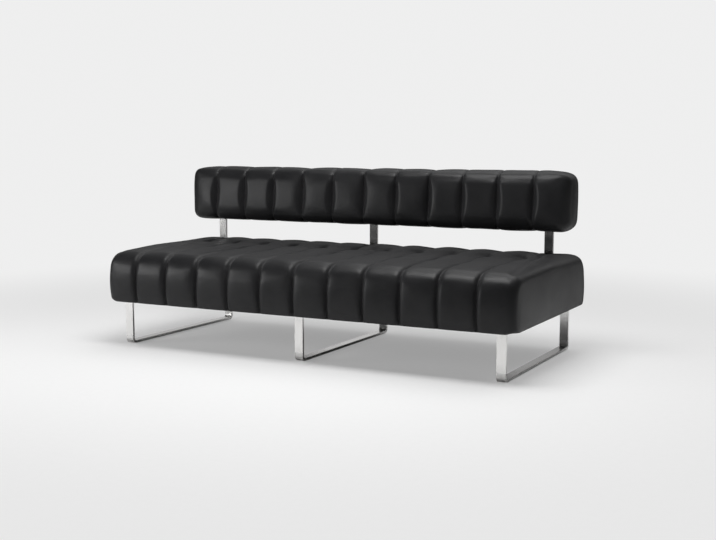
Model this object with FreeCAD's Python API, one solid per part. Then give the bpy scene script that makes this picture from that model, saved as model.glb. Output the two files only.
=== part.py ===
import FreeCAD, Part
import math
import os

from FreeCAD import Vector

# Lobby bench: a channelled leather seat on three flat-bar sleds, with a channelled back cushion
# held above it on three flat-bar posts. Millimetres; the bench stands on the floor at z = 0, runs
# along X, faces -Y, and the origin lies under its middle.

# Cushions
SEAT_LENGTH = 2000.0
SEAT_DEPTH = 960.0
SEAT_UNDERSIDE = 203.0  # floor to the leather hem under the seat
SEAT_HEIGHT = 447.0  # floor to the crown of the seat
SEAT_CROWN = 9.0  # rise of the top between its front and rear edges
SEAT_SIDE_SWELL = 8.0  # how far the front and rear faces bulge
SEAT_TOP_RADIUS = 72.0
SEAT_BOTTOM_RADIUS = 14.0
SEAT_END_RADIUS = 62.0
SEAT_SEAM_DEPTH = 10.0
CHANNEL_COUNT = 12
CHANNEL_FULLNESS = 2.4  # higher is flatter between the seams
BACK_UNDERSIDE = 544.0  # floor to the lower edge of the back cushion
BACK_HEIGHT = 268.0
BACK_THICKNESS = 190.0
BACK_FRONT_PADDING = 121.0  # front of the back cushion to the front of the posts
BACK_EDGE_SWELL = 5.0
BACK_FACE_SWELL = 7.0
BACK_RADIUS = 40.0
BACK_END_RADIUS = 56.0
BACK_SEAM_DEPTH = 6.0  # at the edges of the faces
BACK_SEAM_PULL = 7.0  # how far a seam is drawn further in at half height
END_CORNER_TAPER = 0.5  # how fast the corners of the outline tighten where the ends round off
LEATHER = 2.0
FOAM_CLEARANCE = 0.3  # leather to foam
FIT_CLEARANCE = 0.5  # round the posts and between foam and timber

# Steel
BAR_WIDTH = 40.0
BAR_THICKNESS = 12.0
BEND_RADIUS = 12.0  # inside of the two bends at the floor
WELD_RADIUS = 3.0  # ground corners where a sled's top bar is welded to its legs
BAR_EDGE_ROUND = 1.0
SLED_END_INSET = 80.0  # end of the seat to the middle of an outer sled
SLED_SETBACK = 69.0  # front of the seat to the front legs, and the same behind
POST_FROM_REAR = 180.0  # rear of the seat to the middle of the posts
POST_FOOT_GAP = 5.0  # underside of the frame to the foot of a post
POST_TOP_GAP = 15.0  # top of the back board down to the top of a post
POST_RAIL_GAP = 1.0  # an outer post stands this far from the end rail

# Timber
RAIL_THICKNESS = 25.0
RAIL_HEIGHT = 80.0
SIDE_PADDING = 40.0  # foam and leather outside the frame
END_RAIL_MARGIN = 5.0  # end rail past the inner edge of the sled below it
CENTER_RAIL_WIDTH = 60.0
CORNER_BLOCK_LEG = 60.0
DECK_THICKNESS = 12.0
BOARD_THICKNESS = 18.0
BOARD_MARGIN = 28.0  # back board to the lower and upper edges of the back
BOARD_END_MARGIN = 50.0

# Underside
HEM_CLEARANCE = 4.0  # hem and sleds
DUST_COVER_THICKNESS = 1.0
DUST_COVER_LAP = 10.0  # over the hem, front and rear
DUST_COVER_CLEARANCE = 1.0  # to the sled bars on either side
GLIDE_HEIGHT = 2.0
GLIDE_RADIUS = 12.0
GLIDE_STEM_RADIUS = 4.0
GLIDE_STEM_LENGTH = 7.0
GLIDE_FROM_END = 60.0

# Fasteners
BOLT_RADIUS = 4.0
BOLT_HEAD_ACROSS = 13.0
BOLT_HEAD_HEIGHT = 5.3
BOLT_LENGTH = 30.0
WASHER_RADIUS = 8.0
WASHER_THICKNESS = 1.6
INSERT_RADIUS = 6.0
INSERT_LENGTH = 15.0
INSERT_HOLE_EXTRA = 4.0  # hole beyond the insert, for the tip of the bolt
HOLE_CLEARANCE = 0.2  # on the radius, round every shank and insert
BOLTS_BEFORE_POST = 3
BOLT_FROM_END = 80.0
POST_SCREW_LENGTH = 25.0
POST_SCREW_HEAD_RADIUS = 8.0
POST_SCREW_LOW = 25.0  # above the underside of the frame
POST_SCREW_HIGH = 55.0
BOARD_SCREW_FROM_EDGE = 50.0  # foot of the back board, and top of the post
WOOD_SCREW_RADIUS = 2.5
WOOD_SCREW_HEAD_RADIUS = 5.0
FRAME_SCREW_LENGTH = 50.0
FRAME_SCREW_LOW = 42.0  # above the underside of the frame
FRAME_SCREW_HIGH = 64.0
DECK_SCREW_LENGTH = 40.0
DECK_SCREWS_ON_RAIL = 6
DECK_SCREW_SPACING = 300.0
DECK_SCREW_FROM_MIDDLE = 150.0

# Levels and places worked out from the sizes above
X_AXIS = Vector(1, 0, 0)
Y_AXIS = Vector(0, 1, 0)
Z_AXIS = Vector(0, 0, 1)
half_length = SEAT_LENGTH / 2
half_depth = SEAT_DEPTH / 2
frame_z = SEAT_UNDERSIDE + LEATHER
deck_z = frame_z + RAIL_HEIGHT
foam_z = deck_z + DECK_THICKNESS
frame_half_x = half_length - SIDE_PADDING
frame_half_y = half_depth - SIDE_PADDING
rail_inner_y = frame_half_y - RAIL_THICKNESS
sled_x = half_length - SLED_END_INSET
sled_half_depth = half_depth - SLED_SETBACK
end_rail_inner_x = sled_x - BAR_WIDTH / 2 - END_RAIL_MARGIN
post_x = end_rail_inner_x - POST_RAIL_GAP - BAR_WIDTH / 2
post_front_y = half_depth - POST_FROM_REAR - BAR_THICKNESS / 2
post_rear_y = post_front_y + BAR_THICKNESS
post_rail_rear_y = post_rear_y + RAIL_THICKNESS
back_front_y = post_front_y - BACK_FRONT_PADDING
back_rear_y = back_front_y + BACK_THICKNESS
back_top = BACK_UNDERSIDE + BACK_HEIGHT
board_low = BACK_UNDERSIDE + BOARD_MARGIN
board_high = back_top - BOARD_MARGIN
post_foot = frame_z + POST_FOOT_GAP
post_top = board_high - POST_TOP_GAP
hem_half_x = sled_x + BAR_WIDTH / 2 + HEM_CLEARANCE
hem_half_y = sled_half_depth + HEM_CLEARANCE
sled_xs = {"left": -sled_x, "middle": 0.0, "right": sled_x}
post_xs = {"left": -post_x, "middle": 0.0, "right": post_x}


def box(x0, x1, y0, y1, z0, z1):
    """Block between two opposite corners."""
    return Part.makeBox(x1 - x0, y1 - y0, z1 - z0, Vector(x0, y0, z0))


def rod(point, direction, radius, length):
    return Part.makeCylinder(radius, length, point, direction)


def join(shapes):
    """One solid from pieces that touch or overlap."""
    return shapes[0].multiFuse(shapes[1:])


def export(node, shape):
    shape.exportStep("parts/" + node + ".step")
    print(node, len(shape.Solids), "solids,", round(shape.Volume / 1000.0, 1), "cm3, valid", shape.isValid())


# Cushion forms: lofts through outlines across the bench, one loft for each channel
def pillow_outline(x, y0, y1, z0, z1, top_radius, bottom_radius, swells):
    """Closed outline at X = x: a flat foot, three swelling sides and four round corners."""
    front_swell, top_swell, rear_swell = swells

    def at(y, z):
        return Vector(x, y, z)

    def arc(start, middle, end):
        return Part.Arc(at(*start), at(*middle), at(*end)).toShape()

    def corner(cy, cz, radius, start_angle):
        turn = [math.radians(start_angle - step) for step in (0, 45, 90)]
        return arc(*[(cy + radius * math.cos(a), cz + radius * math.sin(a)) for a in turn])

    low = z0 + bottom_radius
    high = z1 - top_radius
    middle_z = (low + high) / 2
    edges = [
        Part.LineSegment(at(y1 - bottom_radius, z0), at(y0 + bottom_radius, z0)).toShape(),
        corner(y0 + bottom_radius, low, bottom_radius, 270),
        arc((y0, low), (y0 - front_swell, middle_z), (y0, high)),
        corner(y0 + top_radius, high, top_radius, 180),
        arc((y0 + top_radius, z1), ((y0 + y1) / 2, z1 + top_swell), (y1 - top_radius, z1)),
        corner(y1 - top_radius, high, top_radius, 90),
        arc((y1, high), (y1 + rear_swell, middle_z), (y1, low)),
        corner(y1 - bottom_radius, low, bottom_radius, 0),
    ]
    return Part.Wire(edges)


def channelled(outline, end_radius, inset):
    """Closed shell of channels side by side; outline(x, dip, tuck) gives the section at x."""
    pitch = SEAT_LENGTH / CHANNEL_COUNT
    radius = end_radius - inset
    round_x = half_length - end_radius

    def section(start_x, share):
        return outline(start_x + share * pitch, abs(2 * share - 1) ** CHANNEL_FULLNESS, 0.0)

    channel = Part.makeLoft([section(0.0, share) for share in (0.0, 0.25, 0.5, 0.75, 1.0)], False, False)
    half = [section(half_length - pitch, share) for share in (0.0, 0.25, 0.5)]
    cap = [half[-1]]
    for angle in (0.0, 22.5, 45.0, 67.5, 90.0):
        turn = math.radians(angle)
        cap.append(outline(round_x + radius * math.sin(turn), 0.0, radius * (1 - math.cos(turn))))
    right_end = Part.makeLoft(half, False, False).Faces + Part.makeLoft(cap, False, False).Faces
    right_end.append(Part.Face(cap[-1]))
    faces = right_end + [face.mirror(Vector(0, 0, 0), X_AXIS) for face in right_end]
    for index in range(1, CHANNEL_COUNT - 1):
        piece = channel.copy()
        piece.translate(X_AXIS * (index * pitch - half_length))
        faces += piece.Faces
    shell = Part.Compound(faces)
    shell.sewShape()
    return shell.Shells[0]


def filled(shell):
    return Part.makeSolid(shell)


def hollow(outer, inner):
    """The wall between two closed shells, one inside the other."""
    return filled(outer).cut(filled(inner))


def seat_form(inset):
    """The seat's outer form, drawn in by inset on every side."""

    def outline(x, dip, tuck):
        drawn = inset + SEAT_SIDE_SWELL + SEAT_SEAM_DEPTH * dip + tuck
        top = SEAT_HEIGHT - SEAT_CROWN - inset - SEAT_SEAM_DEPTH * dip - tuck
        foot = SEAT_UNDERSIDE + inset + tuck * SEAT_BOTTOM_RADIUS / SEAT_END_RADIUS
        swells = (SEAT_SIDE_SWELL, SEAT_CROWN, SEAT_SIDE_SWELL)
        return pillow_outline(
            x, drawn - half_depth, half_depth - drawn, foot, top,
            SEAT_TOP_RADIUS - inset - tuck * END_CORNER_TAPER, SEAT_BOTTOM_RADIUS - inset, swells,
        )

    return channelled(outline, SEAT_END_RADIUS, inset)


def back_form(inset):
    """The back cushion's outer form; its seams are drawn in most at half height."""

    def outline(x, dip, tuck):
        drawn = inset + BACK_FACE_SWELL + BACK_SEAM_DEPTH * dip + tuck
        edge = inset + BACK_SEAM_DEPTH * dip + tuck
        corner = BACK_RADIUS - inset - tuck * END_CORNER_TAPER
        face_swell = BACK_FACE_SWELL - (BACK_FACE_SWELL + BACK_SEAM_PULL) * dip
        return pillow_outline(
            x, back_front_y + drawn, back_rear_y - drawn,
            BACK_UNDERSIDE + edge, back_top - BACK_EDGE_SWELL - edge,
            corner, corner, (face_swell, BACK_EDGE_SWELL, face_swell),
        )

    return channelled(outline, BACK_END_RADIUS, inset)


# Fasteners
def hex_bolt(point):
    """Bolt pointing up, with the underside of its head at the point."""
    corner_radius = BOLT_HEAD_ACROSS / math.sqrt(3)
    turns = [math.radians(60 * side) for side in range(7)]
    foot = point - Z_AXIS * BOLT_HEAD_HEIGHT
    corners = [foot + Vector(math.cos(a), math.sin(a), 0) * corner_radius for a in turns]
    head = Part.Face(Part.makePolygon(corners)).extrude(Z_AXIS * BOLT_HEAD_HEIGHT)
    return join([head, rod(point, Z_AXIS, BOLT_RADIUS, BOLT_LENGTH)])


def flat_head_screw(point, direction, radius, head_radius, length, extra=0.0):
    """Countersunk screw with its head flush at the point; extra makes the hole for it."""
    head_height = head_radius - radius
    tip = head_height * extra / head_radius
    head = Part.makeCone(head_radius + extra, radius + extra, head_height + tip, point, direction)
    return join([head, rod(point, direction, radius + extra, length + extra)])


def wood_screw(point, direction, length, extra=0.0):
    return flat_head_screw(point, direction, WOOD_SCREW_RADIUS, WOOD_SCREW_HEAD_RADIUS, length, extra)


def post_screw(point, extra=0.0):
    return flat_head_screw(point, Y_AXIS, BOLT_RADIUS, POST_SCREW_HEAD_RADIUS, POST_SCREW_LENGTH, extra)


def insert_nut(point, direction):
    bore = rod(point, direction, BOLT_RADIUS + HOLE_CLEARANCE, INSERT_LENGTH)
    return rod(point, direction, INSERT_RADIUS, INSERT_LENGTH).cut(bore)


def insert_hole(point, direction):
    return rod(point, direction, INSERT_RADIUS + HOLE_CLEARANCE, INSERT_LENGTH + INSERT_HOLE_EXTRA)


# Sled legs: flat bar bent to a U, closed by a welded top bar that is bolted up into the frame
def rounded_frame(half_y, z0, z1, low_radius, high_radius):
    """Outline across the bench, at X = 0, with one radius for the lower corners and one for the upper."""
    plate = box(-1, 1, -half_y, half_y, z0, z1)
    for level, radius in ((z0, low_radius), (z1, high_radius)):
        along_x = [edge for edge in plate.Edges if abs(edge.tangentAt(edge.FirstParameter).x) > 0.9]
        corners = [edge for edge in along_x if abs(edge.CenterOfMass.z - level) < 0.1]
        plate = plate.makeFillet(radius, corners)
    return plate.slice(X_AXIS, 0.0)[0]


sled_low = GLIDE_HEIGHT
outer_wire = rounded_frame(sled_half_depth, sled_low, frame_z, BEND_RADIUS + BAR_THICKNESS, WELD_RADIUS)
inner_half_depth = sled_half_depth - BAR_THICKNESS
inner_wire = rounded_frame(
    inner_half_depth, sled_low + BAR_THICKNESS, frame_z - BAR_THICKNESS, BEND_RADIUS, WELD_RADIUS
)
loop_face = Part.Face(outer_wire).cut(Part.Face(inner_wire)).Faces[0]
loop = loop_face.extrude(X_AXIS * BAR_WIDTH)
loop.translate(X_AXIS * (-BAR_WIDTH / 2))
side_edges = [edge for edge in loop.Edges if abs(edge.tangentAt(edge.FirstParameter).x) < 0.1]
loop = loop.makeFillet(BAR_EDGE_ROUND, side_edges)

first_bolt_y = BOLT_FROM_END - sled_half_depth
last_bolt_y = post_front_y - BOLT_FROM_END
bolt_step = (last_bolt_y - first_bolt_y) / (BOLTS_BEFORE_POST - 1)
bolt_ys = [first_bolt_y + index * bolt_step for index in range(BOLTS_BEFORE_POST)]
bolt_ys.append((post_rail_rear_y + rail_inner_y) / 2)
glide_ys = (GLIDE_FROM_END - sled_half_depth, sled_half_depth - GLIDE_FROM_END)
bar_underside = frame_z - BAR_THICKNESS

bolt_hole_radius = BOLT_RADIUS + FIT_CLEARANCE
stem_hole_radius = GLIDE_STEM_RADIUS + HOLE_CLEARANCE
stem_hole_depth = GLIDE_STEM_LENGTH + FIT_CLEARANCE
sled_holes = [rod(Vector(0, y, bar_underside), Z_AXIS, bolt_hole_radius, BAR_THICKNESS) for y in bolt_ys]
sled_holes += [rod(Vector(0, y, sled_low), Z_AXIS, stem_hole_radius, stem_hole_depth) for y in glide_ys]
loop = loop.cut(Part.makeCompound(sled_holes))

sled_bolts = []
sled_washers = []
floor_glides = []
insert_nuts = []
sled_insert_holes = []
for side, x in sled_xs.items():
    sled = loop.copy()
    sled.translate(X_AXIS * x)
    export(side + "_sled", sled)
    for y in bolt_ys:
        seat = Vector(x, y, bar_underside - WASHER_THICKNESS)
        sled_bolts.append(hex_bolt(seat))
        washer = rod(seat, Z_AXIS, WASHER_RADIUS, WASHER_THICKNESS)
        sled_washers.append(washer.cut(rod(seat, Z_AXIS, bolt_hole_radius, WASHER_THICKNESS)))
        mouth = Vector(x, y, frame_z)
        insert_nuts.append(insert_nut(mouth, Z_AXIS))
        sled_insert_holes.append(insert_hole(mouth, Z_AXIS))
    for y in glide_ys:
        stem = rod(Vector(x, y, sled_low), Z_AXIS, GLIDE_STEM_RADIUS, GLIDE_STEM_LENGTH)
        floor_glides.append(join([rod(Vector(x, y, 0), Z_AXIS, GLIDE_RADIUS, GLIDE_HEIGHT), stem]))
export("sled_bolts", Part.makeCompound(sled_bolts))
export("sled_washers", Part.makeCompound(sled_washers))
export("floor_glides", Part.makeCompound(floor_glides))

# Posts: flat bars screwed to the post rail below and to the back board above
post_screws = []
post_insert_holes = []
post_levels = [frame_z + POST_SCREW_LOW, frame_z + POST_SCREW_HIGH]
post_levels += [board_low + BOARD_SCREW_FROM_EDGE, post_top - BOARD_SCREW_FROM_EDGE]
for side, x in post_xs.items():
    bar = box(x - BAR_WIDTH / 2, x + BAR_WIDTH / 2, post_front_y, post_rear_y, post_foot, post_top)
    upright = [edge for edge in bar.Edges if abs(edge.tangentAt(edge.FirstParameter).z) > 0.9]
    bar = bar.makeFillet(BAR_EDGE_ROUND, upright)
    for z in post_levels:
        head = Vector(x, post_front_y, z)
        post_screws.append(post_screw(head))
        bar = bar.cut(post_screw(head, HOLE_CLEARANCE))
        mouth = Vector(x, post_rear_y, z)
        insert_nuts.append(insert_nut(mouth, Y_AXIS))
        post_insert_holes.append(insert_hole(mouth, Y_AXIS))
    export(side + "_post", bar)
export("post_screws", Part.makeCompound(post_screws))
export("insert_nuts", Part.makeCompound(insert_nuts))

# Seat frame: timber rails under a plywood deck
end_rail_x = (end_rail_inner_x + frame_half_x) / 2
outer_rail_y = (rail_inner_y + frame_half_y) / 2
post_rail_y = (post_rear_y + post_rail_rear_y) / 2
frame_screws = []
frame_screw_holes = []
for level in (frame_z + FRAME_SCREW_LOW, frame_z + FRAME_SCREW_HIGH):
    spots = [(Vector(x, -frame_half_y, level), Y_AXIS) for x in (-end_rail_x, 0, end_rail_x)]
    spots += [(Vector(x, frame_half_y, level), -Y_AXIS) for x in (-end_rail_x, 0, end_rail_x)]
    spots += [(Vector(-frame_half_x, post_rail_y, level), X_AXIS)]
    spots += [(Vector(frame_half_x, post_rail_y, level), -X_AXIS)]
    for point, direction in spots:
        length = FRAME_SCREW_LENGTH
        if abs(direction.x) > 0.5:
            length += frame_half_x - end_rail_inner_x - RAIL_THICKNESS
        frame_screws.append(wood_screw(point, direction, length))
        frame_screw_holes.append(wood_screw(point, direction, length, HOLE_CLEARANCE))
export("frame_screws", Part.makeCompound(frame_screws))

deck_spots = []
for index in range(DECK_SCREWS_ON_RAIL):
    x = (index - (DECK_SCREWS_ON_RAIL - 1) / 2) * DECK_SCREW_SPACING
    deck_spots += [(x, y) for y in (-outer_rail_y, post_rail_y, outer_rail_y)]
for y in (-DECK_SCREW_FROM_MIDDLE, DECK_SCREW_FROM_MIDDLE):
    deck_spots += [(-end_rail_x, y), (0, y), (end_rail_x, y)]
deck_screws = [wood_screw(Vector(x, y, foam_z), -Z_AXIS, DECK_SCREW_LENGTH) for x, y in deck_spots]
deck_screw_holes = [
    wood_screw(Vector(x, y, foam_z), -Z_AXIS, DECK_SCREW_LENGTH, HOLE_CLEARANCE) for x, y in deck_spots
]
export("deck_screws", Part.makeCompound(deck_screws))

timber_holes = Part.makeCompound(
    sled_insert_holes + post_insert_holes + frame_screw_holes + deck_screw_holes
)


def rail(x0, x1, y0, y1):
    return box(x0, x1, y0, y1, frame_z, deck_z)


half_center = CENTER_RAIL_WIDTH / 2
post_slots = [
    box(
        x - BAR_WIDTH / 2 - FIT_CLEARANCE, x + BAR_WIDTH / 2 + FIT_CLEARANCE,
        post_front_y - FIT_CLEARANCE, post_rear_y + FIT_CLEARANCE, frame_z, back_top,
    )
    for x in post_xs.values()
]
notch = box(
    -BAR_WIDTH / 2 - FIT_CLEARANCE, BAR_WIDTH / 2 + FIT_CLEARANCE,
    post_front_y - FIT_CLEARANCE, post_rear_y, frame_z, deck_z,
)
timber = {
    "front_rail": rail(-frame_half_x, frame_half_x, -frame_half_y, -rail_inner_y),
    "rear_rail": rail(-frame_half_x, frame_half_x, rail_inner_y, frame_half_y),
    "left_end_rail": rail(-frame_half_x, -end_rail_inner_x, -rail_inner_y, rail_inner_y),
    "right_end_rail": rail(end_rail_inner_x, frame_half_x, -rail_inner_y, rail_inner_y),
    "center_rail": rail(-half_center, half_center, -rail_inner_y, post_rear_y).cut(notch),
    "rear_center_block": rail(-half_center, half_center, post_rail_rear_y, rail_inner_y),
    "post_rail": rail(-end_rail_inner_x, end_rail_inner_x, post_rear_y, post_rail_rear_y),
}
for node, piece in timber.items():
    export(node, piece.cut(timber_holes))

corner_blocks = []
for way in (-1, 1):
    corner = Vector(way * end_rail_inner_x, -rail_inner_y, frame_z)
    along = corner - X_AXIS * (way * CORNER_BLOCK_LEG)
    back = corner + Y_AXIS * CORNER_BLOCK_LEG
    triangle = Part.Face(Part.makePolygon([corner, along, back, corner]))
    corner_blocks.append(triangle.extrude(Z_AXIS * RAIL_HEIGHT))
export("corner_blocks", Part.makeCompound(corner_blocks))

deck = box(-frame_half_x, frame_half_x, -frame_half_y, frame_half_y, deck_z, foam_z)
export("seat_deck", deck.cut(Part.makeCompound(post_slots + deck_screw_holes)))

# Seat cushion: foam round and over the frame, leather over the foam
foam_block = filled(seat_form(LEATHER + FOAM_CLEARANCE))
slot_cut = Part.makeCompound(post_slots)
frame_pocket = box(
    -frame_half_x - FIT_CLEARANCE, frame_half_x + FIT_CLEARANCE,
    -frame_half_y - FIT_CLEARANCE, frame_half_y + FIT_CLEARANCE, 0, foam_z,
)
below_deck = box(-SEAT_LENGTH, SEAT_LENGTH, -SEAT_DEPTH, SEAT_DEPTH, 0, foam_z)
export("seat_border_foam", foam_block.common(below_deck).cut(frame_pocket))
export("seat_top_foam", foam_block.cut(below_deck).cut(slot_cut))

hem_opening = box(-hem_half_x, hem_half_x, -hem_half_y, hem_half_y, 0, frame_z + LEATHER)
export("seat_cover", hollow(seat_form(0.0), seat_form(LEATHER)).cut(hem_opening).cut(slot_cut))

dust_half_y = hem_half_y + DUST_COVER_LAP
dust_low = SEAT_UNDERSIDE - DUST_COVER_THICKNESS
bar_reach = BAR_WIDTH / 2 + DUST_COVER_CLEARANCE
for side, outer_x in (("left", -sled_x), ("right", sled_x)):
    x0 = min(outer_x, 0.0) + bar_reach
    x1 = max(outer_x, 0.0) - bar_reach
    export(side + "_dust_cover", box(x0, x1, -dust_half_y, dust_half_y, dust_low, SEAT_UNDERSIDE))

# Back cushion: a board behind the posts between two halves of foam, leather round them
board_half_x = half_length - BOARD_END_MARGIN
board_rear_y = post_rear_y + BOARD_THICKNESS
board = box(-board_half_x, board_half_x, post_rear_y, board_rear_y, board_low, board_high)
export("back_board", board.cut(Part.makeCompound(post_insert_holes)))

back_block = filled(back_form(LEATHER + FOAM_CLEARANCE))
before_board = box(-SEAT_LENGTH, SEAT_LENGTH, 0, post_rear_y, 0, 2 * back_top)
board_pocket = box(
    -board_half_x - FIT_CLEARANCE, board_half_x + FIT_CLEARANCE, post_rear_y, board_rear_y,
    board_low - FIT_CLEARANCE, board_high + FIT_CLEARANCE,
)
export("back_front_foam", back_block.common(before_board).cut(slot_cut))
export("back_rear_foam", back_block.cut(before_board).cut(board_pocket).cut(slot_cut))
export("back_cover", hollow(back_form(0.0), back_form(LEATHER)).cut(slot_cut))
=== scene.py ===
import math

import bmesh
import bpy
import numpy as np
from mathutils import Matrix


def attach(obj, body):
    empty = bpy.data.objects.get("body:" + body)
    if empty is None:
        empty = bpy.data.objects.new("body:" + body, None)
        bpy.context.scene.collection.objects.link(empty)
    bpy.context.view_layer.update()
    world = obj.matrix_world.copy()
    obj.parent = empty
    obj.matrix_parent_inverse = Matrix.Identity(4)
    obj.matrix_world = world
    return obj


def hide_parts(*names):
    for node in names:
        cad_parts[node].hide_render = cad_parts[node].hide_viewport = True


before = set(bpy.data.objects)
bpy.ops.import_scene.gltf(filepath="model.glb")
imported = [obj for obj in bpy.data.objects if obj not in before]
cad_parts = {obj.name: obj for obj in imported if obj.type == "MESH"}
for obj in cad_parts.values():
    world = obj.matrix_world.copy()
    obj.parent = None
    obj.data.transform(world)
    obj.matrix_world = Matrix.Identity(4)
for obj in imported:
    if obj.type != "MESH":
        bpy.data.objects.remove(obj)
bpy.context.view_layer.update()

# Sled legs and posts
# Loops and short uprights of 40 by 12 mm flat steel bar, ground to a satin finish and duller at the
# bends. The loops are bolted up into the seat frame, the posts are screwed to the post rail.


def new_material(name):
    material = bpy.data.materials.new(name)
    material.use_nodes = True
    return material, material.node_tree.nodes, material.node_tree.links


def add_node(nodes, kind, **sockets):
    node = nodes.new(kind)
    for key, value in sockets.items():
        node.inputs[key.replace("_", " ")].default_value = value
    return node


noise_span = (0.3, 0.7)


def noise_pattern(nodes, links, scale, detail, stretch=(1.0, 1.0, 1.0)):
    """An irregular pattern fixed to the object, most of its values inside the noise span."""
    place = nodes.new("ShaderNodeTexCoord")
    mapping = add_node(nodes, "ShaderNodeMapping", Scale=stretch)
    noise = add_node(nodes, "ShaderNodeTexNoise", Scale=scale, Detail=detail)
    links.new(place.outputs["Object"], mapping.inputs["Vector"])
    links.new(mapping.outputs["Vector"], noise.inputs["Vector"])
    return noise.outputs["Fac"]


def value_range(nodes, links, source, low, high, span=noise_span, easing="LINEAR"):
    """Takes a span of the source's values to the range from low to high."""
    ramp = add_node(
        nodes, "ShaderNodeMapRange", From_Min=span[0], From_Max=span[1], To_Min=low, To_Max=high
    )
    ramp.interpolation_type = easing
    links.new(source, ramp.inputs["Value"])
    return ramp.outputs["Result"]


def colour_range(nodes, links, source, dark, light):
    """Takes the noise span of the source's values to the colours from dark to light."""
    ramp = nodes.new("ShaderNodeValToRGB")
    for stop, position, colour in zip(ramp.color_ramp.elements, noise_span, (dark, light)):
        stop.position = position
        stop.color = (*colour, 1)
    links.new(source, ramp.inputs["Fac"])
    return ramp.outputs["Color"]


def math_node(nodes, links, operation, *sources):
    """A Math node fed by other nodes' outputs and by plain numbers."""
    node = nodes.new("ShaderNodeMath")
    node.operation = operation
    for socket, source in zip(node.inputs, sources):
        if isinstance(source, float):
            socket.default_value = source
        else:
            links.new(source, socket)
    return node.outputs["Value"]


def dress(node_names, material):
    for name in node_names:
        mesh = bpy.data.objects[name].data
        mesh.materials.clear()
        mesh.materials.append(material)


# The steel turns dull at the floor bends, over these distances from the middle and these heights.
bend_distances, bend_heights = (0.380, 0.394), (0.045, 0.030)
steel, nodes, links = new_material("brushed_steel")
shader = nodes["Principled BSDF"]
shader.inputs["Metallic"].default_value = 1.0
brushing = noise_pattern(nodes, links, 900.0, 3.0, stretch=(1.0, 0.006, 0.006))
handling = noise_pattern(nodes, links, 9.0, 3.0)
links.new(
    colour_range(nodes, links, brushing, (0.69, 0.685, 0.675), (0.79, 0.785, 0.775)),
    shader.inputs["Base Color"],
)
spot = nodes.new("ShaderNodeSeparateXYZ")
links.new(nodes.new("ShaderNodeTexCoord").outputs["Object"], spot.inputs["Vector"])
from_middle = math_node(nodes, links, "ABSOLUTE", spot.outputs["Y"])
at_bend = value_range(nodes, links, from_middle, 0.0, 0.30, span=bend_distances)
low_down = value_range(nodes, links, spot.outputs["Z"], 0.0, 1.0, span=bend_heights)
handled = value_range(nodes, links, handling, 0.15, 0.20)
links.new(
    math_node(nodes, links, "MULTIPLY_ADD", at_bend, low_down, handled), shader.inputs["Roughness"]
)
grinding = add_node(nodes, "ShaderNodeBump", Strength=0.25, Distance=0.00006)
links.new(brushing, grinding.inputs["Height"])
links.new(grinding.outputs["Normal"], shader.inputs["Normal"])
dress(["left_sled", "middle_sled", "right_sled"], steel)
dress(["left_post", "middle_post", "right_post"], steel)

# Floor glides
# Black nylon discs with a shank pressed into the runners. They keep the steel off the floor and
# show only as a thin dark line below the bar.


def speckled_finish(name, scale, detail, dark, light, roughness, metallic=0.0):
    """A finish whose colour and roughness vary together over a fine pattern."""
    material, nodes, links = new_material(name)
    shader = nodes["Principled BSDF"]
    shader.inputs["Metallic"].default_value = metallic
    pattern = noise_pattern(nodes, links, scale, detail)
    links.new(colour_range(nodes, links, pattern, dark, light), shader.inputs["Base Color"])
    links.new(value_range(nodes, links, pattern, *roughness), shader.inputs["Roughness"])
    return material


nylon = speckled_finish(
    "black_nylon", 260.0, 4.0, (0.012, 0.012, 0.012), (0.03, 0.03, 0.03), (0.45, 0.65)
)
dress(["floor_glides"], nylon)

# Bolts, washers and screws
# Zinc-plated steel. The bolts and washers hold the sleds up to the frame, the screws hold the
# frame, the deck and the posts.
zinc = speckled_finish(
    "zinc_plating", 180.0, 4.0, (0.45, 0.46, 0.48), (0.62, 0.63, 0.64), (0.28, 0.44), metallic=1.0
)
dress(["sled_bolts", "sled_washers", "frame_screws", "deck_screws", "post_screws"], zinc)

# Insert nuts
# Brass nuts with a coarse outer thread, turned into the timber rails and the back board to take
# the machine bolts.
brass = speckled_finish(
    "plain_brass", 220.0, 3.0, (0.50, 0.36, 0.14), (0.72, 0.56, 0.26), (0.25, 0.42), metallic=1.0
)
dress(["insert_nuts"], brass)

# Seat frame
# Planed softwood rails, blocks and a cross rail, glued and screwed. It is closed in by the
# cushion above and the dust covers below.


def timber_material(name, stretch, dark, light):
    material, nodes, links = new_material(name)
    shader = nodes["Principled BSDF"]
    figure = noise_pattern(nodes, links, 60.0, 6.0, stretch=stretch)
    pores = noise_pattern(nodes, links, 420.0, 3.0, stretch=stretch)
    links.new(colour_range(nodes, links, figure, dark, light), shader.inputs["Base Color"])
    links.new(value_range(nodes, links, pores, 0.55, 0.75), shader.inputs["Roughness"])
    grain = add_node(nodes, "ShaderNodeBump", Strength=0.3, Distance=0.0002)
    links.new(pores, grain.inputs["Height"])
    links.new(grain.outputs["Normal"], shader.inputs["Normal"])
    return material


long_grain = timber_material("rail_timber", (0.05, 1.0, 1.0), (0.40, 0.26, 0.14), (0.58, 0.42, 0.25))
cross_grain = timber_material(
    "cross_timber", (1.0, 0.05, 1.0), (0.39, 0.26, 0.14), (0.57, 0.41, 0.25)
)
dress(["front_rail", "rear_rail", "post_rail"], long_grain)
dress(["left_end_rail", "right_end_rail", "center_rail"], cross_grain)
dress(["rear_center_block", "corner_blocks"], cross_grain)

# Deck and back board
# Birch plywood sheets. The deck is screwed down on the frame, the board is screwed to the posts.
plywood = timber_material("birch_plywood", (0.08, 1.0, 1.0), (0.50, 0.37, 0.22), (0.66, 0.52, 0.34))
dress(["seat_deck", "back_board"], plywood)

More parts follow.
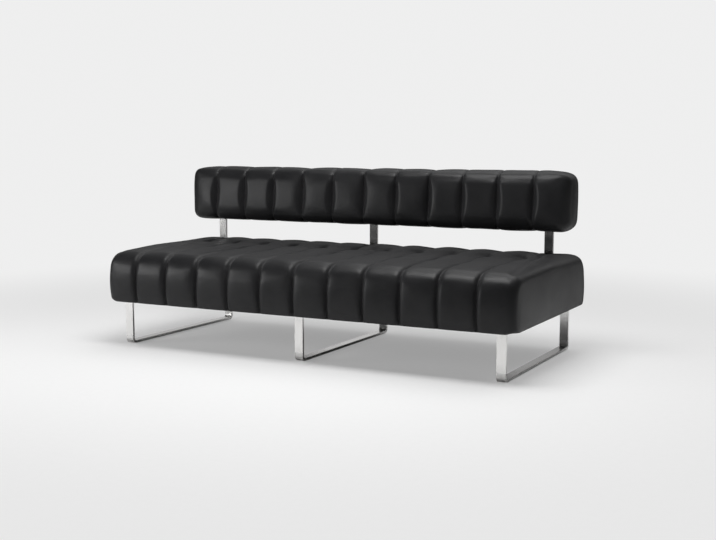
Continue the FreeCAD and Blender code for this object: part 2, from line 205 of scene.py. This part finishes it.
# Foam
# Cut polyurethane foam glued to the timber. It is wholly inside the leather covers.
foam = speckled_finish("cut_foam", 700.0, 2.0, (0.66, 0.60, 0.44), (0.78, 0.73, 0.58), (0.90, 0.90))
foam_nodes = ["seat_border_foam", "seat_top_foam", "back_front_foam", "back_rear_foam"]
dress(foam_nodes, foam)

# Seat cushion
# A cover of black leather sewn in twelve channels across the seat and filled by the foam below.
# It is pulled down over the frame and its hem is turned under and stapled.
channels = 12


def slice_points(front, rear, under, top, low_round, top_round, swell, counts):
    """One upright slice of a cushion, from its lower rear corner forward and round."""
    steps_y, steps_z, corner = counts
    corners = [
        (rear - low_round, under + low_round, low_round),
        (front + low_round, under + low_round, low_round),
        (front + top_round, top - top_round, top_round),
        (rear - top_round, top - top_round, top_round),
    ]
    pushes = [(0, -1), (-1, 0), (0, 1), (1, 0)]
    points = []
    for index, (y, z, radius) in enumerate(corners):
        for step in range(2 * corner + 1):
            turn = math.radians(-90 * index - 45 * step / corner)
            points.append((y + radius * math.cos(turn), z + radius * math.sin(turn)))
        last = points[-1]
        y, z, radius = corners[(index + 1) % 4]
        turn = math.radians(-90 * (index + 1))
        following = (y + radius * math.cos(turn), z + radius * math.sin(turn))
        steps = steps_y if index % 2 == 0 else steps_z
        for step in range(1, steps):
            share = step / steps
            hump = 4 * share * (1 - share) * swell[index]
            points.append((
                last[0] + (following[0] - last[0]) * share + pushes[index][0] * hump,
                last[1] + (following[1] - last[1]) * share + pushes[index][1] * hump,
            ))
    return points[corner:] + points[:corner]


def stations(half_length, end_round, per_channel, end_steps):
    """Places along a cushion, close together at the seams, and how far each is drawn in."""
    width = 2 * half_length / channels
    least_step = 0.004
    middle = []
    for channel in range(channels):
        for step in range(per_channel):
            share = 0.5 - 0.5 * math.cos(math.pi * step / per_channel)
            place = -half_length + width * (channel + share)
            if abs(place) < half_length - end_round - least_step:
                middle.append((place, 0.0))
    ends = []
    for step in range(end_steps + 1):
        turn = math.pi / 2 * step / end_steps
        place = half_length - end_round + end_round * math.sin(turn)
        ends.append((place, end_round * (1 - math.cos(turn))))
    return [(-x, drawn) for x, drawn in reversed(ends)] + middle + ends


def closed_skin(name, along, slices, counts):
    """Joins the slices into one closed skin and fills each end with a grid."""
    end_crown = 0.006
    side_y, side_z = counts[0] + 2 * counts[2], counts[1] + 2 * counts[2]
    around = len(slices[0])
    points = [(x, y, z) for x, ring in zip(along, slices) for y, z in ring]
    faces = []
    for row in range(len(along) - 1):
        for step in range(around):
            here, after = row * around + step, row * around + (step + 1) % around
            faces.append((here, after, after + around, here + around))
    for row in (0, len(along) - 1):
        first = row * around
        grid = np.zeros((side_y + 1, side_z + 1), dtype=int)
        grid[:, 0] = [first + i for i in range(side_y + 1)]
        grid[-1, :] = [first + side_y + i for i in range(side_z + 1)]
        grid[::-1, -1] = [first + side_y + side_z + i for i in range(side_y + 1)]
        grid[0, ::-1] = [first + (2 * side_y + side_z + i) % around for i in range(side_z + 1)]
        rim = np.array(points)
        for i in range(1, side_y):
            for j in range(1, side_z):
                u, v = i / side_y, j / side_z
                place = (1 - v) * rim[grid[i, 0]] + v * rim[grid[i, -1]]
                place = place + (1 - u) * rim[grid[0, j]] + u * rim[grid[-1, j]]
                place = place - (1 - u) * ((1 - v) * rim[grid[0, 0]] + v * rim[grid[0, -1]])
                place = place - u * ((1 - v) * rim[grid[-1, 0]] + v * rim[grid[-1, -1]])
                crown = end_crown * 16 * u * (1 - u) * v * (1 - v)
                place[0] += math.copysign(crown, along[row])
                grid[i, j] = len(points)
                points.append(tuple(place))
        for i in range(side_y):
            for j in range(side_z):
                faces.append((grid[i, j], grid[i + 1, j], grid[i + 1, j + 1], grid[i, j + 1]))
    mesh = bpy.data.meshes.new(name)
    mesh.from_pydata(points, [], [tuple(int(i) for i in face) for face in faces])
    skin = bmesh.new()
    skin.from_mesh(mesh)
    bmesh.ops.recalc_face_normals(skin, faces=skin.faces)
    skin.to_mesh(mesh)
    skin.free()
    piece = bpy.data.objects.new(name, mesh)
    bpy.context.scene.collection.objects.link(piece)
    return piece


def read_skin(mesh):
    """Places and outward directions of a mesh's points."""
    place = np.zeros(len(mesh.vertices) * 3)
    mesh.vertices.foreach_get("co", place)
    out = np.zeros(len(mesh.vertices) * 3)
    mesh.vertex_normals.foreach_get("vector", out)
    return place.reshape(-1, 3), out.reshape(-1, 3)


def seam_places(half_length):
    """Where the seams of a cushion cross its length."""
    return np.linspace(-half_length, half_length, channels + 1)[1:-1]


def seam_gap(x, half_length):
    """Distance from the nearest sewn seam."""
    return np.abs(x[:, None] - seam_places(half_length)[None, :]).min(axis=1)


def settle(piece, half_length, pressure, reach):
    """Fills the cover by a cloth simulation, no further than the reach, and refines the mesh.

    The ends, the underside and the seams that lie on a column of points are held.
    """
    seam_margin, end_margin, filling_frames = 0.0005, 0.045, 20
    start, out = read_skin(piece.data)
    at_seam = seam_gap(start[:, 0], half_length) < seam_margin
    at_end = np.abs(start[:, 0]) > half_length - end_margin
    held = piece.vertex_groups.new(name="held")
    held.add([int(i) for i in np.nonzero(at_seam | at_end | (out[:, 2] < -0.8))[0]], 1.0, "REPLACE")
    filling = piece.modifiers.new("filling", "CLOTH")
    cloth = filling.settings
    cloth.quality = 6
    cloth.mass = 0.02
    cloth.tension_stiffness = 12.0
    cloth.compression_stiffness = 8.0
    cloth.shear_stiffness = 4.0
    cloth.bending_stiffness = 4.0
    cloth.use_pressure = True
    cloth.uniform_pressure_force = pressure
    cloth.vertex_group_mass = "held"
    cloth.effector_weights.gravity = 0.0
    filling.collision_settings.use_collision = False
    filling.point_cache.frame_start = 1
    filling.point_cache.frame_end = filling_frames
    scene = bpy.context.scene
    for moment in range(1, filling_frames + 1):
        scene.frame_set(moment)
    filled = piece.evaluated_get(bpy.context.evaluated_depsgraph_get())
    moved = np.zeros(len(start) * 3)
    filled.data.vertices.foreach_get("co", moved)
    shift = moved.reshape(-1, 3) - start
    piece.modifiers.remove(filling)
    scene.frame_set(1)
    length = np.linalg.norm(shift, axis=1, keepdims=True)
    shift = shift * np.minimum(1.0, reach / np.maximum(length, 1e-9))
    piece.data.vertices.foreach_set("co", (start + shift).ravel())
    finer = piece.modifiers.new("finer", "SUBSURF")
    finer.levels = 1
    finer.render_levels = 1
    ready = piece.evaluated_get(bpy.context.evaluated_depsgraph_get())
    mesh = bpy.data.meshes.new_from_object(ready)
    piece.modifiers.remove(finer)
    piece.vertex_groups.clear()
    piece.data = mesh
    mesh.name = piece.name
    mesh.polygons.foreach_set("use_smooth", [True] * len(mesh.polygons))


def wave(seed, *coords):
    """A smooth irregular value between about -1 and 1, the same on every run."""
    chance = np.random.default_rng(seed)
    total = 0
    for layer in range(5):
        angle = chance.uniform(0, math.tau)
        for coord in coords:
            angle = angle + coord * chance.uniform(0.6, 1.8) * chance.choice([-1, 1])
        total = total + np.sin(angle)
    return total / 3


def bell(value, middle, width):
    """One at the middle, falling smoothly to nought on either side."""
    return np.exp(-((value - middle) / width) ** 2)


def sewn_valley(gap, half_width):
    """About one at the seam, falling to nought over the half width and rounded off there."""
    inner = 1 - gap / half_width
    return 0.5 * (inner + np.sqrt(inner ** 2 + 0.02))


seat_half = 1.0
seat_half_depth = 0.470
seat_under = 0.203
seat_crown = 0.4375
seat_inset = 0.004
seat_end_round, seat_low_round, seat_top_round = 0.062, 0.014, 0.072
seat_corner = 0.038
seat_swell = (0.0, 0.006, 0.009, 0.006)
seat_draw, seat_draw_reach = 0.003, 0.050
seat_fill_reach = 0.003
fill_pressure = 4.0
hem_x, hem_y, hem_level = 0.944, 0.415, 0.2055
post_places = (-0.874, 0.0, 0.874)
post_y = 0.300
rows_per_channel, end_rows = 14, 8
seat_counts = (28, 9, 4)
seat_along = stations(seat_half - seat_inset, seat_end_round, rows_per_channel, end_rows)
seat_slices = []
for x, drawn in seat_along:
    gap = seam_gap(np.array([x]), seat_half)[0]
    valley = seat_draw * max(0.0, 1 - gap / seat_draw_reach) ** 2
    past = min(seat_corner, max(0.0, abs(x) - (seat_half - seat_inset - seat_corner)))
    side = seat_corner - math.sqrt(seat_corner ** 2 - past ** 2) + valley
    crown = 0.62 * drawn + valley
    seat_slices.append(slice_points(
        -seat_half_depth + side, seat_half_depth - side,
        seat_under + 0.1 * drawn, seat_crown - crown,
        seat_low_round, seat_top_round - 0.2 * drawn, seat_swell, seat_counts,
    ))
seat_piece = closed_skin("seat_cushion", [x for x, drawn in seat_along], seat_slices, seat_counts)
settle(seat_piece, seat_half, fill_pressure, seat_fill_reach)

place, out = read_skin(seat_piece.data)
x, y, z = place.T
gap = seam_gap(x, seat_half)
facing = np.abs(out[:, 1]) * (np.abs(out[:, 0]) < 0.9)
rising = np.clip(out[:, 2], 0, 1)
edge = 4 * (facing * rising) ** 2
# Creases at the seams: tight on the front and on the edge, fading on the top, wider at mid height.
front_crease, top_crease, edge_crease, crease_width = 0.0115, 0.0085, 0.0030, 0.0085
valley_depth, valley_level, valley_half_height = 0.0035, 0.290, 0.085
behind = np.clip((y + 0.40) / 0.18, 0, 1) * np.clip((0.20 - y) / 0.16, 0, 1)
depth = front_crease * facing ** 2 + top_crease * rising ** 2 * (1 - 0.9 * behind) + edge_crease * edge
crease = depth * np.exp(-(gap / crease_width) ** 1.6)
lens = np.clip(1 - ((z - valley_level) / valley_half_height) ** 2, 0, 1)
crease = crease + valley_depth * lens * facing ** 2 * sewn_valley(gap, 0.005 + 0.011 * lens)
# Puckers along the seams, and slow waves of the leather between them.
pucker_height, pucker_reach = 0.0008, 0.016
roll_height, top_roll_height = 0.0012, 0.0009
girth = np.where(facing > 0.7, z, y)
puckers = pucker_height * wave(11, girth * 190, x * 24) * np.exp(-gap / pucker_reach)
rolling = roll_height * wave(12, x * 19, y * 13, z * 17) * (1 - 0.6 * facing)
past_front = np.clip((y + 0.40) / 0.25, 0, 1)
rolling = rolling + top_roll_height * wave(13, x * 41, y * 24) * rising ** 2 * past_front
lift = (rolling + puckers) * (1 - np.clip(-out[:, 2], 0, 1)) - crease
# Folds that run out from the foot of each post, where the leather is drawn down.
fold_height, fold_reach = 0.0012, 0.075
post_draw, post_draw_reach = 0.003, 0.030
for post_x in post_places:
    away = np.hypot(x - post_x, y - post_y)
    bearing = np.arctan2(y - post_y, x - post_x)
    folds = fold_height * np.cos(7 * bearing + 5 * post_x) * (1 - np.exp(-away / 0.02))
    sunk = post_draw * np.exp(-away / post_draw_reach)
    lift = lift + (folds * np.exp(-away / fold_reach) - sunk) * rising ** 4
place = place + out * lift[:, None]
# The top is highest just before the posts, scalloped between the seams, and dips before that.
brow_height, rear_fall = 0.012, 0.010
dip_depth, seam_dip_depth = 0.0040, 0.0075
scallop_depth, front_scallop_depth = 0.009, 0.003
brow = bell(y, 0.21, 0.13)
slope = np.clip((y - 0.25) / 0.20, 0, 1)
within = 1 - np.clip((np.abs(x) - 0.86) / 0.10, 0, 1)
share = np.clip(1 - gap / (seat_half / channels), 0, 1)
place[:, 2] += rising * within * (brow_height * brow - rear_fall * slope ** 2 * (3 - 2 * slope))
dip = bell(y, 0.080, 0.050) + 0.45 * bell(y, -0.130, 0.060)
place[:, 2] -= rising * within * (dip_depth + seam_dip_depth * share) * dip
scallop = scallop_depth * brow + front_scallop_depth * bell(y, -0.40, 0.07)
place[:, 2] -= rising * share ** 2 * scallop
# A fold from each end post to the front corner, rounder lower corners, and the hem's edge below.
end_fold_depth, end_fold_width, end_fold_spread = 0.0055, 0.011, 0.085
corner_lift = 0.014
along = np.clip((post_y - y) / 0.72, 0, 1)
fold = bell(np.abs(x) - post_places[2], end_fold_spread * along, end_fold_width) * (y < post_y)
place[:, 2] -= rising * end_fold_depth * fold * (1 - 0.5 * along)
corner = np.clip((np.abs(x) - 0.955) / 0.045, 0, 1) * np.clip((np.abs(y) - hem_y) / 0.05, 0, 1)
place[:, 2] += corner_lift * corner * np.clip((0.260 - z) / 0.055, 0, 1)
open_under = (np.abs(x) < hem_x) & (np.abs(y) < hem_y) & (out[:, 2] < -0.9)
place[open_under, 2] = hem_level
seat_piece.data.vertices.foreach_set("co", place.ravel())
seat_piece.data.update()
rubbed = seat_piece.data.attributes.new("seam_shade", "FLOAT", "POINT")
rubbed.data.foreach_set("value", facing ** 2 * bell(gap, 0.0, 0.011))

leather, nodes, links = new_material("black_leather")
shader = nodes["Principled BSDF"]
shader.inputs["Specular IOR Level"].default_value = 0.20
shader.inputs["Sheen Weight"].default_value = 0.03
shader.inputs["Sheen Roughness"].default_value = 0.4
tone = noise_pattern(nodes, links, 7.0, 4.0)
links.new(
    colour_range(nodes, links, tone, (0.014, 0.014, 0.015), (0.021, 0.021, 0.022)),
    shader.inputs["Base Color"],
)
# The leather is duller where it is seen edge on and inside the seams.
edge_on = add_node(nodes, "ShaderNodeLayerWeight", Blend=0.5)
dulled = value_range(nodes, links, edge_on.outputs["Facing"], 0.0, 0.36, span=(0.70, 0.92))
gloss = math_node(nodes, links, "ADD", value_range(nodes, links, tone, 0.35, 0.42), dulled)
in_seam = nodes.new("ShaderNodeAttribute")
in_seam.attribute_name = "seam_shade"
links.new(
    math_node(nodes, links, "MULTIPLY_ADD", in_seam.outputs["Fac"], 0.35, gloss),
    shader.inputs["Roughness"],
)
pebble = add_node(nodes, "ShaderNodeTexVoronoi", Scale=520.0)
pebble.feature = "SMOOTH_F1"
links.new(nodes.new("ShaderNodeTexCoord").outputs["Object"], pebble.inputs["Vector"])
rumple = noise_pattern(nodes, links, 70.0, 4.0)
grain = add_node(nodes, "ShaderNodeBump", Strength=0.35, Distance=0.0004)
grain.invert = True
links.new(pebble.outputs["Distance"], grain.inputs["Height"])
soft = add_node(nodes, "ShaderNodeBump", Strength=0.25, Distance=0.0012)
links.new(rumple, soft.inputs["Height"])
links.new(grain.outputs["Normal"], soft.inputs["Normal"])
links.new(soft.outputs["Normal"], shader.inputs["Normal"])
seat_piece.data.materials.append(leather)
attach(seat_piece, "root")
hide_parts("seat_cover", "seat_top_foam", "seat_border_foam")

# Seat seam thread
# Bonded black nylon thread in a row of lock stitches down each seam. It lies in the crease and is
# pulled tight into the leather.


def laid_tree():
    """A node tree that lays short rounded lengths end to end along every edge path it is given."""
    tree = bpy.data.node_groups.new("laid_along_path", "GeometryNodeTree")
    inputs = {
        "Path": "Geometry", "Pitch": "Float", "Length": "Float", "Thickness": "Float",
        "Seed": "Int", "Finish": "Material",
    }
    for name, kind in inputs.items():
        tree.interface.new_socket(name, in_out="INPUT", socket_type="NodeSocket" + kind)
    tree.interface.new_socket("Laid", in_out="OUTPUT", socket_type="NodeSocketGeometry")
    nodes, links = tree.nodes, tree.links
    given = nodes.new("NodeGroupInput")
    made = nodes.new("NodeGroupOutput")
    curve = nodes.new("GeometryNodeMeshToCurve")
    spaced = nodes.new("GeometryNodeResampleCurve")
    spaced.mode = "LENGTH"
    tangent = nodes.new("GeometryNodeInputTangent")
    turned = nodes.new("FunctionNodeAlignRotationToVector")
    turned.axis = "Z"
    bead = add_node(nodes, "GeometryNodeMeshUVSphere", Segments=6, Rings=5, Radius=0.5)
    size = nodes.new("ShaderNodeCombineXYZ")
    varied = nodes.new("FunctionNodeRandomValue")
    varied.inputs[2].default_value = 0.9
    varied.inputs[3].default_value = 1.08
    drawn = math_node(nodes, links, "MULTIPLY", given.outputs["Length"], varied.outputs[1])
    placed = nodes.new("GeometryNodeInstanceOnPoints")
    real = nodes.new("GeometryNodeRealizeInstances")
    smooth = nodes.new("GeometryNodeSetShadeSmooth")
    finish = nodes.new("GeometryNodeSetMaterial")
    links.new(given.outputs["Path"], curve.inputs["Mesh"])
    links.new(curve.outputs["Curve"], spaced.inputs["Curve"])
    links.new(given.outputs["Pitch"], spaced.inputs["Length"])
    links.new(tangent.outputs["Tangent"], turned.inputs["Vector"])
    links.new(given.outputs["Seed"], varied.inputs["Seed"])
    links.new(drawn, size.inputs["Z"])
    links.new(given.outputs["Thickness"], size.inputs["X"])
    links.new(given.outputs["Thickness"], size.inputs["Y"])
    links.new(spaced.outputs["Curve"], placed.inputs["Points"])
    links.new(bead.outputs["Mesh"], placed.inputs["Instance"])
    links.new(turned.outputs["Rotation"], placed.inputs["Rotation"])
    links.new(size.outputs["Vector"], placed.inputs["Scale"])
    links.new(placed.outputs["Instances"], real.inputs["Geometry"])
    links.new(real.outputs["Geometry"], smooth.inputs["Geometry"])
    links.new(smooth.outputs["Geometry"], finish.inputs["Geometry"])
    links.new(given.outputs["Finish"], finish.inputs["Material"])
    links.new(finish.outputs["Geometry"], made.inputs["Laid"])
    return tree


laid_along_path = laid_tree()


def laid(name, paths, pitch, length, thickness, finish):
    """One piece of short lengths laid along the paths, each path a list of places."""
    points, edges = [], []
    for path in paths:
        edges += [(len(points) + i, len(points) + i + 1) for i in range(len(path) - 1)]
        points += [tuple(place) for place in path]
    mesh = bpy.data.meshes.new(name)
    mesh.from_pydata(points, edges, [])
    piece = bpy.data.objects.new(name, mesh)
    bpy.context.scene.collection.objects.link(piece)
    laying = piece.modifiers.new("laying", "NODES")
    laying.node_group = laid_along_path
    values = {"Pitch": pitch, "Length": length, "Thickness": thickness, "Seed": 5, "Finish": finish}
    for socket in laid_along_path.interface.items_tree:
        if socket.name in values:
            laying[socket.identifier] = values[socket.name]
    ready = piece.evaluated_get(bpy.context.evaluated_depsgraph_get())
    whole = bpy.data.meshes.new_from_object(ready)
    piece.modifiers.remove(laying)
    piece.data = whole
    whole.name = name
    return piece


def seam_paths(piece, half_length, proud, lowest):
    """The line of each seam round the cushion, lifted a little out of the crease."""
    place, out = read_skin(piece.data)
    middle = (place.min(axis=0) + place.max(axis=0)) / 2
    half = (place.max(axis=0) - place.min(axis=0)) / 2
    ends = np.empty(2 * len(piece.data.edges), dtype=np.int32)
    piece.data.edges.foreach_get("vertices", ends)
    start, end = ends.reshape(-1, 2).T
    paths = []
    for seam in seam_places(half_length):
        offset = place[:, 0] - seam - 1e-7
        crossing = offset[start] * offset[end] < 0
        a, b = start[crossing], end[crossing]
        share = (offset[a] / (offset[a] - offset[b]))[:, None]
        line = place[a] + (place[b] - place[a]) * share + (out[a] + (out[b] - out[a]) * share) * proud
        line = line[line[:, 2] > lowest]
        line[:, 0] = seam
        across = (line - middle) / half
        turn = (np.arctan2(across[:, 2], across[:, 1]) + math.pi / 2) % math.tau
        paths.append(line[np.argsort(turn)])
    return paths


thread = speckled_finish(
    "black_thread", 900.0, 2.0, (0.008, 0.008, 0.009), (0.022, 0.022, 0.024), (0.50, 0.70)
)
stitch_pitch, stitch_length, thread_thickness = 0.0068, 0.0056, 0.0011
thread_proud, seat_thread_end = 0.0003, 0.212
seat_thread = laid(
    "seat_thread", seam_paths(seat_piece, seat_half, thread_proud, seat_thread_end),
    stitch_pitch, stitch_length, thread_thickness, thread,
)
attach(seat_thread, "root")

# Dust covers
# Two panels of black non-woven fabric, one in each bay between the sleds. They are pulled over the
# raw edges of the leather, stapled up to the rails, and sag a little in the middle.
dust, nodes, links = new_material("dust_fabric")
shader = nodes["Principled BSDF"]
shader.inputs["Roughness"].default_value = 0.92
shader.inputs["Sheen Weight"].default_value = 0.15
fibres = noise_pattern(nodes, links, 1300.0, 3.0)
links.new(
    colour_range(nodes, links, fibres, (0.012, 0.012, 0.013), (0.04, 0.04, 0.042)),
    shader.inputs["Base Color"],
)
felted = add_node(nodes, "ShaderNodeBump", Strength=0.4, Distance=0.0003)
links.new(fibres, felted.inputs["Height"])
links.new(felted.outputs["Normal"], shader.inputs["Normal"])
panel_width, panel_depth = 0.878, 0.850
panel_from_middle, panel_level = 0.021, 0.2024
sag_depth, pull_depth, ripple_depth = 0.0032, 0.0005, 0.0006
staple_pitch, staple_inset, staple_level = 0.045, 0.008, 0.2018
columns, rows = 89, 87
staple_paths = []
for side, node in ((-1, "left_dust_cover"), (1, "right_dust_cover")):
    across, deep = np.meshgrid(np.linspace(-1, 1, columns), np.linspace(-1, 1, rows))
    reach = np.minimum((1 - np.abs(across)) * panel_width / 2, (1 - np.abs(deep)) * panel_depth / 2)
    pulled = np.cos(across * panel_width / 2 * math.tau / staple_pitch)
    pulled = pulled * np.cos(deep * panel_depth / 2 * math.tau / staple_pitch)
    sag = sag_depth * (1 - across ** 2) * (1 - deep ** 2) + pull_depth * pulled * np.exp(-reach / 0.02)
    sag = sag + ripple_depth * wave(31, across * 7, deep * 7) * (1 - across ** 2) * (1 - deep ** 2)
    level = panel_level - np.clip(sag, 0, None)
    middle = side * (panel_from_middle + panel_width / 2)
    points = np.stack([middle + across * panel_width / 2, deep * panel_depth / 2, level], axis=2)
    faces = []
    for row in range(rows - 1):
        for step in range(columns - 1):
            here = row * columns + step
            faces.append((here, here + columns, here + columns + 1, here + 1))
    mesh = bpy.data.meshes.new(node + "_cloth")
    mesh.from_pydata(points.reshape(-1, 3).tolist(), [], faces)
    mesh.polygons.foreach_set("use_smooth", [True] * len(faces))
    mesh.materials.append(dust)
    panel = bpy.data.objects.new(node + "_cloth", mesh)
    bpy.context.scene.collection.objects.link(panel)
    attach(panel, "root")
    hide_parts(node)
    half_x, half_y = panel_width / 2 - staple_inset, panel_depth / 2 - staple_inset
    corners = [(-1, -1), (1, -1), (1, 1), (-1, 1), (-1, -1)]
    staple_paths.append([(middle + i * half_x, j * half_y, staple_level) for i, j in corners])

# Staples
# Plain wire staples driven up through the dust covers and the hem into the rails, evenly spaced
# along all four edges.
staple_length, wire_thickness = 0.0105, 0.0009
staples = laid(
    "dust_cover_staples", staple_paths, staple_pitch, staple_length, wire_thickness, zinc
)
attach(staples, "root")

# Back cushion
# The same leather in twelve channels round a board and foam. Each seam is drawn in deepest at the
# middle of the height, and the cover is closed underneath round the posts.
back_half = 1.0
back_front, back_rear = 0.181, 0.356
back_under, back_top = 0.550, 0.806
back_inset = 0.006
back_end_round, back_low_round, back_top_round = 0.056, 0.040, 0.032
back_swell = (0.004, 0.005, 0.004, 0.004)
back_draw, back_draw_reach = 0.002, 0.045
back_fill_reach = 0.005
back_counts = (8, 14, 3)
back_along = stations(back_half - back_inset, back_end_round, rows_per_channel, end_rows)
back_slices = []
for x, drawn in back_along:
    gap = seam_gap(np.array([x]), back_half)[0]
    edge = back_draw * max(0.0, 1 - gap / back_draw_reach) ** 2
    back_slices.append(slice_points(
        back_front + drawn + edge, back_rear - 0.6 * drawn - edge,
        back_under + 0.7 * drawn + edge, back_top - 0.7 * drawn - edge,
        back_low_round - 0.3 * drawn, back_top_round - 0.2 * drawn, back_swell, back_counts,
    ))
back_piece = closed_skin("back_cushion", [x for x, drawn in back_along], back_slices, back_counts)
settle(back_piece, back_half, fill_pressure, back_fill_reach)

place, out = read_skin(back_piece.data)
x, y, z = place.T
gap = seam_gap(x, back_half)
facing = np.abs(out[:, 1])
# Valleys deepest at mid height, a tight crease in each, puckers beside it, and the front leaning.
valley_depth, valley_level, valley_half_height = 0.0165, 0.680, 0.108
crease_depth, crease_width = 0.0045, 0.005
pucker_height, roll_height = 0.0007, 0.0010
lean, lean_level = math.radians(5), 0.672
lens = np.clip(1 - ((z - valley_level) / valley_half_height) ** 2, 0, 1)
valley = valley_depth * lens * facing ** 2 * sewn_valley(gap, 0.006 + 0.019 * lens)
crease = crease_depth * np.exp(-(gap / crease_width) ** 1.3) * (np.abs(out[:, 0]) < 0.9)
puckers = pucker_height * wave(21, z * 170, y * 170, x * 24) * np.exp(-gap / pucker_reach)
rolling = roll_height * wave(22, x * 19, y * 17, z * 21)
place = place + out * (rolling + puckers - crease - valley)[:, None]
place[:, 1] += math.tan(lean) * (z - lean_level) * np.clip(-out[:, 1], 0, 1)
back_piece.data.vertices.foreach_set("co", place.ravel())
back_piece.data.update()
back_piece.data.materials.append(leather)
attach(back_piece, "root")
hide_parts("back_cover", "back_front_foam", "back_rear_foam")

# Back seam thread
# The same black thread down the seams of the back, running right round the cushion.
back_thread = laid(
    "back_thread", seam_paths(back_piece, back_half, thread_proud, 0.0),
    stitch_pitch, stitch_length, thread_thickness, thread,
)
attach(back_thread, "root")

# Studio
# A pale paper floor that runs out into an even white backdrop. It is only the room, not a piece of
# the bench. Only the camera sees the even white: the steel and the leather reflect the paper, its
# painted shade past the camera, the softboxes and the lamps of the world.
backdrop_level = 0.86
floor_reach, rim_points = 300.0, 96
rim = []
for step in range(rim_points):
    turn = math.tau * step / rim_points
    rim.append((floor_reach * math.cos(turn), floor_reach * math.sin(turn), 0.0))
room_mesh = bpy.data.meshes.new("studio_floor")
room_mesh.from_pydata(rim, [], [tuple(range(rim_points))])
floor = bpy.data.objects.new("studio_floor", room_mesh)
bpy.context.scene.collection.objects.link(floor)
paper, nodes, links = new_material("backdrop_paper")
shader = nodes["Principled BSDF"]
shader.inputs["Roughness"].default_value = 0.9
shader.inputs["Specular IOR Level"].default_value = 0.1
fibre = noise_pattern(nodes, links, 40.0, 3.0)
paper_white = colour_range(nodes, links, fibre, (0.90, 0.90, 0.90), (0.92, 0.92, 0.92))
# The paper is painted near black towards and past the camera, a painted shade for the unlit front
# of the room, and far out it fades into the backdrop's white.
painted_shade_edge, fade_distances = (-5.5, -3.2), (0.8, 4.0)
place = nodes.new("ShaderNodeTexCoord")
parts = nodes.new("ShaderNodeSeparateXYZ")
links.new(place.outputs["Object"], parts.inputs["Vector"])
out_of_painted_shade = value_range(nodes, links, parts.outputs["Y"], 0.0, 1.0, painted_shade_edge, "SMOOTHSTEP")
paper_or_painted_shade = nodes.new("ShaderNodeMix")
paper_or_painted_shade.data_type = "RGBA"
# Painted shade: the near-black colour of the floor past the camera, standing for the unlit front of
# the room.
paper_or_painted_shade.inputs[6].default_value = (0.03, 0.03, 0.03, 1.0)
links.new(out_of_painted_shade, paper_or_painted_shade.inputs[0])
links.new(paper_white, paper_or_painted_shade.inputs[7])
links.new(paper_or_painted_shade.outputs[2], shader.inputs["Base Color"])
backdrop = add_node(nodes, "ShaderNodeEmission", Strength=backdrop_level)
spread = nodes.new("ShaderNodeVectorMath")
spread.operation = "LENGTH"
links.new(place.outputs["Object"], spread.inputs[0])
fade = value_range(nodes, links, spread.outputs["Value"], 0.36, 1.0, fade_distances, "SMOOTHSTEP")
seen = nodes.new("ShaderNodeLightPath")
shown = math_node(nodes, links, "MULTIPLY", fade, seen.outputs["Is Camera Ray"])
blend = nodes.new("ShaderNodeMixShader")
links.new(shown, blend.inputs["Fac"])
links.new(shader.outputs["BSDF"], blend.inputs[1])
links.new(backdrop.outputs["Emission"], blend.inputs[2])
links.new(blend.outputs["Shader"], nodes["Material Output"].inputs["Surface"])
room_mesh.materials.append(paper)

world = bpy.data.worlds.new("studio_world")
world.use_nodes = True
bpy.context.scene.world = world
nodes, links = world.node_tree.nodes, world.node_tree.links
direction = nodes.new("ShaderNodeTexCoord")
lamps = {
    "up_rear": ((0.000, 0.500, 0.866), 12.0, 1.70),
    "rear_left": ((-0.683, 0.683, 0.259), 10.0, 0.34),
    "rear": ((-0.457, 0.860, 0.225), 50.0, 0.45),
    "rear_high": ((0.130, 0.924, 0.360), 30.0, 0.45),
}
total = 0.0
for toward, tightness, strength in lamps.values():
    facing = nodes.new("ShaderNodeVectorMath")
    facing.operation = "DOT_PRODUCT"
    facing.inputs[1].default_value = toward
    links.new(direction.outputs["Generated"], facing.inputs[0])
    forward = math_node(nodes, links, "MAXIMUM", facing.outputs["Value"], 0.0)
    narrow = math_node(nodes, links, "POWER", forward, tightness)
    total = math_node(nodes, links, "MULTIPLY_ADD", narrow, strength, total)
nodes["Background"].inputs["Color"].default_value = (1.0, 1.0, 1.0, 1.0)
links.new(total, nodes["Background"].inputs["Strength"])
white = nodes.new("ShaderNodeBackground")
white.inputs["Color"].default_value = (1.0, 1.0, 1.0, 1.0)
white.inputs["Strength"].default_value = backdrop_level
seen = nodes.new("ShaderNodeLightPath")
choice = nodes.new("ShaderNodeMixShader")
links.new(seen.outputs["Is Camera Ray"], choice.inputs["Fac"])
links.new(nodes["Background"].outputs["Background"], choice.inputs[1])
links.new(white.outputs["Background"], choice.inputs[2])
links.new(choice.outputs["Shader"], nodes["World Output"].inputs["Surface"])


def softbox(name, place, target, size, power):
    lamp = bpy.data.lights.new(name, "AREA")
    lamp.shape = "RECTANGLE"
    lamp.size = size[0]
    lamp.size_y = size[1]
    lamp.energy = power
    box = bpy.data.objects.new(name, lamp)
    box.location = place
    reach = [t - p for t, p in zip(target, place)]
    box.rotation_euler = (
        math.atan2(math.hypot(reach[0], reach[1]), -reach[2]), 0, math.atan2(-reach[0], reach[1])
    )
    box.visible_camera = False
    bpy.context.scene.collection.objects.link(box)


softbox("key_softbox", (-2.75, -2.45, 1.05), (-0.6, 0.1, 0.7), (1.4, 1.0), 38.0)
softbox("overhead_softbox", (0.25, -0.75, 2.7), (0.25, -0.45, 0.4), (1.6, 1.1), 44.0)
softbox("ceiling_softbox", (0.9, 0.5, 3.6), (0.9, 0.5, 0.0), (5.0, 4.0), 57.0)

lens_data = bpy.data.cameras.new("camera")
lens_data.lens = 55.53
lens_data.sensor_width = 36.0
camera = bpy.data.objects.new("camera", lens_data)
camera.location = (2.4050, -4.4242, 0.9488)
camera.rotation_euler = (math.radians(90 - 6.726), 0, math.radians(27.81))
bpy.context.scene.collection.objects.link(camera)
bpy.context.scene.camera = camera
bpy.context.scene.view_settings.view_transform = "Standard"
